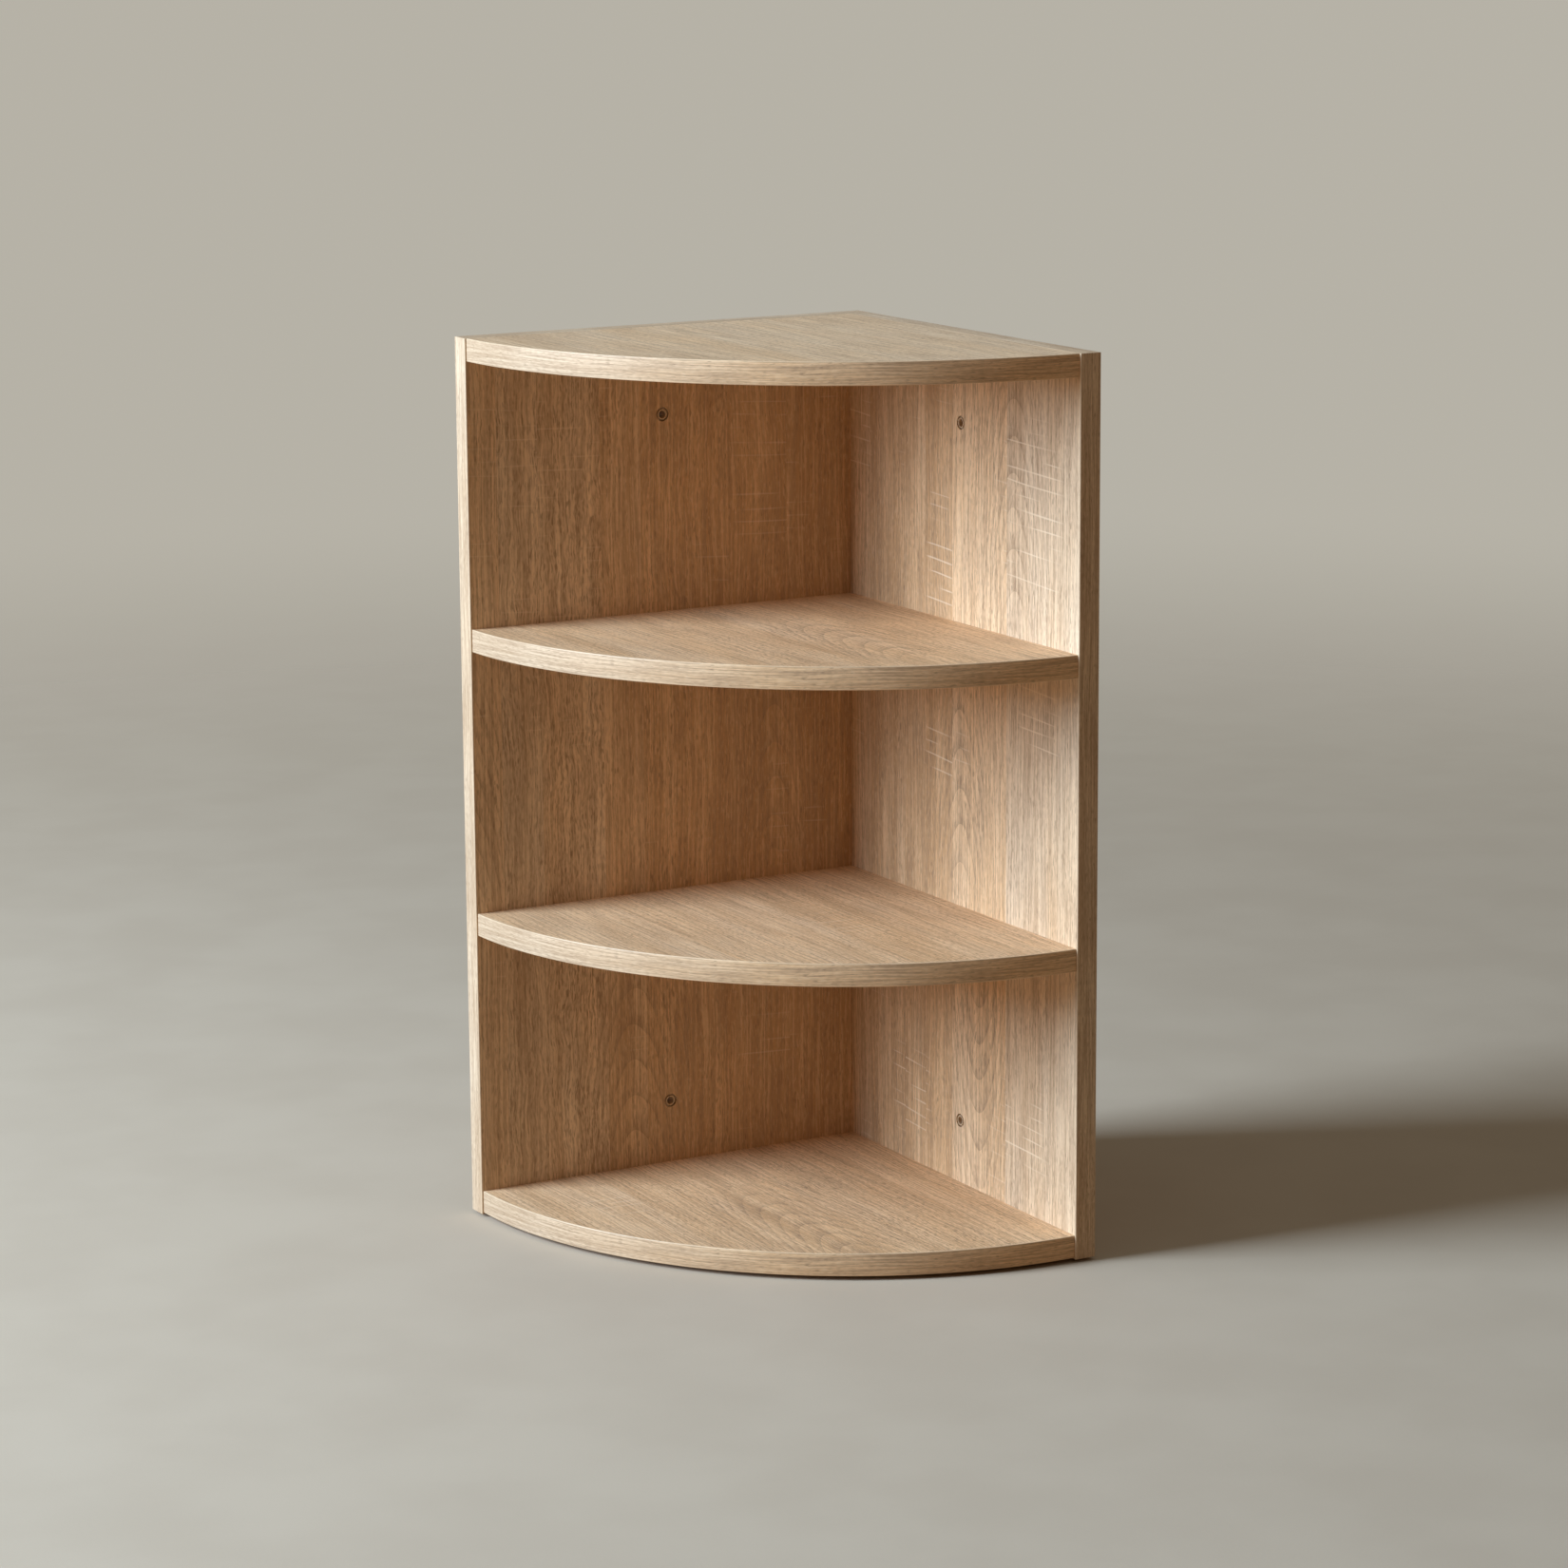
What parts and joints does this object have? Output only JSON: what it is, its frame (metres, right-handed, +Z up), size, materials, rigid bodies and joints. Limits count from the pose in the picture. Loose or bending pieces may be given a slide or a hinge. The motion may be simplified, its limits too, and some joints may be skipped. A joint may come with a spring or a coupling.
{
  "type": "corner shelf unit",
  "caption": "Open corner shelf unit in oak-decor board: two side panels at a right angle, quarter-round shelves between them.",
  "frame": {"origin": "on the floor, in the middle of the unit's square plan", "axes": "+Z up; +Y towards the wall behind the left side panel, +X towards the wall behind the right side panel; the curved fronts face -X -Y"},
  "size_m": [0.36, 0.36, 0.7025],
  "materials": {
    "oak_board": "satin oak-grain melamine",
    "oak_edging": "satin oak-grain edge band",
    "zinc_screw": "zinc plated",
    "beech_dowel": "raw beech",
    "sleeve_plastic": "satin",
    "glide_plastic": "satin"
  },
  "bodies": {
    "root": {"left_side_panel": "oak_board", "left_panel_front_edging": "oak_edging", "left_panel_top_edging": "oak_edging", "left_panel_back_edging": "oak_edging", "right_side_panel": "oak_board", "right_panel_front_edging": "oak_edging", "right_panel_top_edging": "oak_edging", "bottom_board": "oak_board", "bottom_board_edging": "oak_edging", "lower_shelf": "oak_board", "lower_shelf_edging": "oak_edging", "upper_shelf": "oak_board", "upper_shelf_edging": "oak_edging", "top_board": "oak_board", "top_board_edging": "oak_edging", "bottom_board_left_back_screw": "zinc_screw", "bottom_board_left_front_screw": "zinc_screw", "bottom_board_right_back_screw": "zinc_screw", "bottom_board_right_front_screw": "zinc_screw", "lower_shelf_left_back_screw": "zinc_screw", "lower_shelf_left_front_screw": "zinc_screw", "lower_shelf_right_back_screw": "zinc_screw", "lower_shelf_right_front_screw": "zinc_screw", "upper_shelf_left_back_screw": "zinc_screw", "upper_shelf_left_front_screw": "zinc_screw", "upper_shelf_right_back_screw": "zinc_screw", "upper_shelf_right_front_screw": "zinc_screw", "top_board_left_back_screw": "zinc_screw", "top_board_left_front_screw": "zinc_screw", "top_board_right_back_screw": "zinc_screw", "top_board_right_front_screw": "zinc_screw", "corner_joint_screw_1": "zinc_screw", "corner_joint_screw_2": "zinc_screw", "corner_joint_screw_3": "zinc_screw", "bottom_board_left_dowel": "beech_dowel", "bottom_board_right_dowel": "beech_dowel", "lower_shelf_left_dowel": "beech_dowel", "lower_shelf_right_dowel": "beech_dowel", "upper_shelf_left_dowel": "beech_dowel", "upper_shelf_right_dowel": "beech_dowel", "top_board_left_dowel": "beech_dowel", "top_board_right_dowel": "beech_dowel", "corner_joint_dowel_1": "beech_dowel", "corner_joint_dowel_2": "beech_dowel", "left_lower_wall_sleeve": "sleeve_plastic", "left_upper_wall_sleeve": "sleeve_plastic", "right_lower_wall_sleeve": "sleeve_plastic", "right_upper_wall_sleeve": "sleeve_plastic", "left_front_glide": "glide_plastic", "left_back_glide": "glide_plastic", "right_front_glide": "glide_plastic", "right_back_glide": "glide_plastic"}
  },
  "joints": []
}
